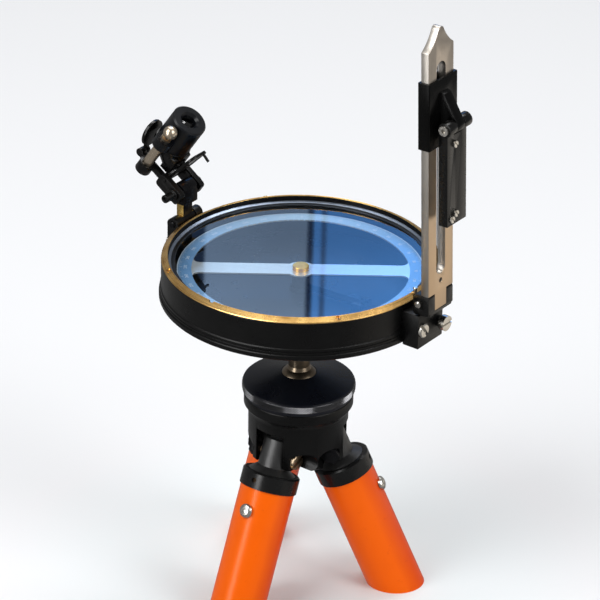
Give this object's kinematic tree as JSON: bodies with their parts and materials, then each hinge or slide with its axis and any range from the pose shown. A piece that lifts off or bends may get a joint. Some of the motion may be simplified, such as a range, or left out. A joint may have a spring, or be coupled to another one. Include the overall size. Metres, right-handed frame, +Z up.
{
  "type": "surveyors compass",
  "caption": "Prismatic compass with folding sights, glazed dial box and mirror slide, on a lockable ball head with short splayed tube legs.",
  "frame": {"origin": "on the pan axis, at the underside of the head's hub, where the plumb hook's hole opens", "axes": "+Z up along the pan axis, +X along the line of sight from the prism to the object vane, +Y to the left of it"},
  "size_m": [0.1572, 0.1168, 0.2734],
  "materials": {
    "box_paint": "fine crackle paint",
    "cap_black": "satin with a knurled side",
    "satin_black": "satin",
    "collar_black": "gloss",
    "leg_orange": "semi-gloss",
    "bolt_steel": "worn",
    "screw_steel": "polished",
    "stem_steel": "dark, turned",
    "vane_metal": "fine brushed",
    "magnet_steel": "dark",
    "hair_wire": "dark",
    "brass": "turned",
    "bezel_brass": "worn",
    "ring_silver": "satin",
    "dial_face": "matt, printed",
    "gasket_rubber": "matt",
    "clear_glass": "clear",
    "amber_glass": "clear amber",
    "jewel": "polished",
    "mirror_silver": "silvered"
  },
  "bodies": {
    "head": {"tripod_head": "box_paint", "leg_bolts": "bolt_steel"},
    "cap": {"clamp_cap": "cap_black"},
    "seat": {"ball_seat": "brass"},
    "stem": {"ball_stem": "stem_steel"},
    "box": {"pan_socket": "satin_black", "pan_screw": "screw_steel", "base_plate": "box_paint", "base_screws": "screw_steel", "box_shell": "box_paint", "glass_gasket": "gasket_rubber", "glass": "clear_glass", "glass_ring": "ring_silver", "bezel": "bezel_brass", "bezel_screws": "bezel_brass", "pivot_post": "brass", "hinge_block": "box_paint", "block_screws": "screw_steel", "hinge_pins": "brass", "prism_bracket": "box_paint", "lever_pin": "screw_steel"},
    "dial": {"dial_ring": "dial_face", "magnet_needle": "magnet_steel", "hub_cap": "brass", "hub_jewel": "jewel"},
    "lifting_pin": {"lifting_pin": "screw_steel"},
    "lever": {"lifting_lever": "brass"},
    "brake": {"brake_pin": "screw_steel"},
    "vane": {"vane_foot": "satin_black", "vane_plate": "vane_metal", "sight_hair": "hair_wire"},
    "slide": {"mirror_slide": "satin_black", "mirror_pin": "screw_steel"},
    "mirror": {"mirror_frame": "satin_black", "mirror_glass": "mirror_silver", "mirror_screws": "screw_steel"},
    "post": {"prism_post": "brass"},
    "carrier": {"prism_carrier": "satin_black", "guide_rod": "screw_steel"},
    "clamp": {"clamp_screw": "satin_black"},
    "eyepiece": {"eye_barrel": "satin_black", "eye_lens": "clear_glass", "prism_housing": "satin_black", "prism_glass": "clear_glass"},
    "shade": {"shade_frame": "satin_black", "shade_glass": "amber_glass"},
    "dark_shade": {"dark_shade": "satin_black"},
    "leg_a": {"leg_a_head": "box_paint", "leg_a_collar": "collar_black", "leg_a_tube": "leg_orange", "leg_a_screw": "screw_steel"},
    "leg_b": {"leg_b_head": "box_paint", "leg_b_collar": "collar_black", "leg_b_tube": "leg_orange", "leg_b_screw": "screw_steel"},
    "leg_c": {"leg_c_head": "box_paint", "leg_c_collar": "collar_black", "leg_c_tube": "leg_orange", "leg_c_screw": "screw_steel"}
  },
  "joints": [
    {"name": "cap_turn", "type": "hinge", "parent": "head", "child": "cap", "pos_m": [0, 0, 0.0228], "axis": [0, 0, 1], "range_deg": [-90, 30]},
    {"name": "seat_spin", "type": "hinge", "parent": "head", "child": "seat", "pos_m": [0, 0, 0.02643], "axis": [0, 0, 1], "continuous": true},
    {"name": "ball_tilt", "type": "hinge", "parent": "seat", "child": "stem", "pos_m": [0, 0, 0.02643], "axis": [0, 1, 0], "range_deg": [-15, 15]},
    {"name": "box_pan", "type": "hinge", "parent": "stem", "child": "box", "pos_m": [0, 0, 0.0682], "axis": [0, 0, 1], "continuous": true},
    {"name": "dial_spin", "type": "hinge", "parent": "box", "child": "dial", "pos_m": [0, 0, 0.0804], "axis": [0, 0, 1], "continuous": true},
    {"name": "lifting_pin_press", "type": "slide", "parent": "box", "child": "lifting_pin", "axis": [0, 0, -1], "range_m": [0, 0.0011], "stiffness_N_per_m": 300, "springref_m": -0.001},
    {"name": "lever_lift", "type": "hinge", "parent": "box", "child": "lever", "pos_m": [0.02997, 0.00134, 0.0726], "axis": [-0.0448, 0.999, 0], "range_deg": [0, 2.5]},
    {"name": "brake_press", "type": "slide", "parent": "box", "child": "brake", "axis": [-1, 0, 0], "range_m": [0, 0.001], "stiffness_N_per_m": 300, "springref_m": -0.001},
    {"name": "vane_fold", "type": "hinge", "parent": "box", "child": "vane", "pos_m": [0.0646, 0, 0.0878], "axis": [0, -1, 0], "range_deg": [0, 88]},
    {"name": "mirror_slide_up", "type": "slide", "parent": "vane", "child": "slide", "axis": [-0.0349, 0, 0.9994], "range_m": [-0.022, 0.006]},
    {"name": "mirror_tilt", "type": "hinge", "parent": "slide", "child": "mirror", "pos_m": [0.07354, 0, 0.16696], "axis": [0, -1, 0], "range_deg": [0, 110]},
    {"name": "post_fold", "type": "hinge", "parent": "box", "child": "post", "pos_m": [-0.0604, 0, 0.0846], "axis": [0, -1, 0], "range_deg": [0, 45]},
    {"name": "carrier_tilt", "type": "hinge", "parent": "post", "child": "carrier", "pos_m": [-0.0607, 0, 0.0982], "axis": [0, -1, 0], "range_deg": [-10, 75]},
    {"name": "clamp_turn", "type": "hinge", "parent": "carrier", "child": "clamp", "pos_m": [-0.0607, 0, 0.0982], "axis": [0, 1, 0], "range_deg": [-180, 20]},
    {"name": "focus_slide", "type": "slide", "parent": "carrier", "child": "eyepiece", "axis": [0.5736, 0, 0.8192], "range_m": [-0.0008, 0.0018]},
    {"name": "shade_tilt", "type": "hinge", "parent": "carrier", "child": "shade", "pos_m": [-0.06555, 0, 0.1033], "axis": [0, -1, 0], "range_deg": [-45, 9]},
    {"name": "dark_shade_tilt", "type": "hinge", "parent": "carrier", "child": "dark_shade", "pos_m": [-0.07835, 0, 0.11239], "axis": [0, -1, 0], "range_deg": [0, 60]},
    {"name": "leg_a_fold", "type": "hinge", "parent": "head", "child": "leg_a", "pos_m": [0.01299, 0.0075, -0.0013], "axis": [-0.5, 0.866, 0], "range_deg": [-8, 23]},
    {"name": "leg_b_fold", "type": "hinge", "parent": "head", "child": "leg_b", "pos_m": [-0.01299, 0.0075, -0.0013], "axis": [-0.5, -0.866, 0], "range_deg": [-8, 23]},
    {"name": "leg_c_fold", "type": "hinge", "parent": "head", "child": "leg_c", "pos_m": [0, -0.015, -0.0013], "axis": [1, 0, 0], "range_deg": [-8, 23]}
  ],
  "couplings": [
    {"joint": "lever_lift", "follows": "lifting_pin_press", "rad_per_m": 38.751}
  ]
}
